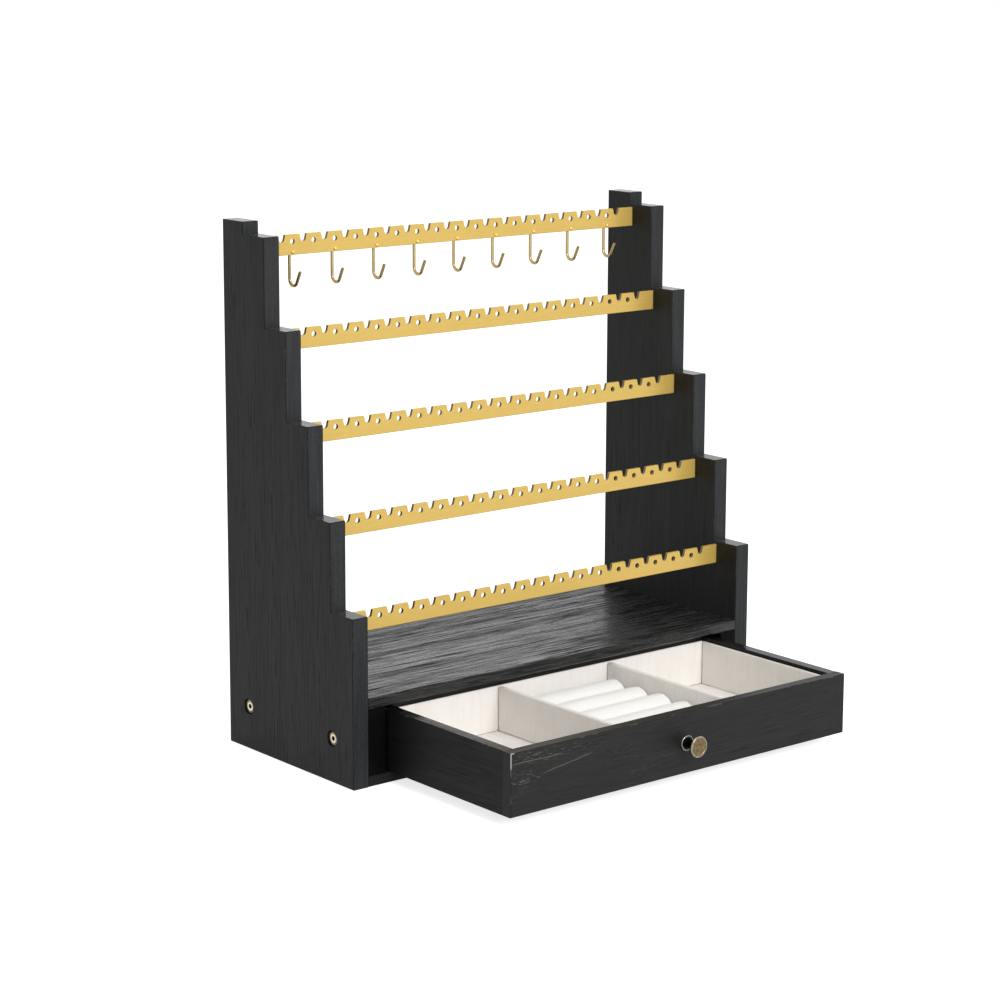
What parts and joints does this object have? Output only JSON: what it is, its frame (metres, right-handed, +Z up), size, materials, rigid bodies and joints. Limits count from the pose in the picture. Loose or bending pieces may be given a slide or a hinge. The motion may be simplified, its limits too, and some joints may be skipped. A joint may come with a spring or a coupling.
{
  "type": "jewelry organizer",
  "caption": "Stepped tabletop jewelry stand: notched bars for earrings, J hooks for necklaces, a shelf, and a velvet-lined drawer with ring rolls.",
  "frame": {"origin": "centre of the base's footprint, on the surface it stands on", "axes": "+Z up, -Y towards the front, where the drawer pulls out, +X to the right seen from the front"},
  "size_m": [0.335, 0.265, 0.34],
  "materials": {
    "black_wood": "black stain over open grain, satin",
    "gold_bar": "brushed gold plate",
    "gold_wire": "polished gold plate",
    "brass_bolt": "bright brass plate",
    "zinc_insert": "zinc plate",
    "cream_velvet": "short-pile velvet on card",
    "white_velvet": "short-pile velvet over foam",
    "antique_brass": "antique brass, darkened and rubbed"
  },
  "bodies": {
    "stand": {"left_side_panel": "black_wood", "right_side_panel": "black_wood", "shelf": "black_wood", "box_bottom": "black_wood", "box_back": "black_wood", "box_left_wall": "black_wood", "box_right_wall": "black_wood", "earring_bar_1": "gold_bar", "earring_bar_2": "gold_bar", "earring_bar_3": "gold_bar", "earring_bar_4": "gold_bar", "earring_bar_5": "gold_bar", "necklace_hook_1": "gold_wire", "necklace_hook_2": "gold_wire", "necklace_hook_3": "gold_wire", "necklace_hook_4": "gold_wire", "necklace_hook_5": "gold_wire", "necklace_hook_6": "gold_wire", "necklace_hook_7": "gold_wire", "necklace_hook_8": "gold_wire", "necklace_hook_9": "gold_wire", "side_bolts": "brass_bolt", "threaded_inserts": "zinc_insert"},
    "drawer": {"drawer_front": "black_wood", "drawer_left_side": "black_wood", "drawer_right_side": "black_wood", "drawer_back": "black_wood", "drawer_bottom": "black_wood", "liner_floor": "cream_velvet", "liner_front": "cream_velvet", "liner_back": "cream_velvet", "liner_left": "cream_velvet", "liner_right": "cream_velvet", "left_divider": "cream_velvet", "right_divider": "cream_velvet", "ring_roll_1": "white_velvet", "ring_roll_2": "white_velvet", "ring_roll_3": "white_velvet", "ring_roll_4": "white_velvet", "ring_roll_5": "white_velvet", "knob": "antique_brass", "knob_rosette": "antique_brass", "knob_screw": "zinc_insert"}
  },
  "joints": [
    {"name": "drawer_slide", "type": "slide", "parent": "stand", "child": "drawer", "axis": [0, -1, 0], "range_m": [-0.118, 0.004]}
  ]
}
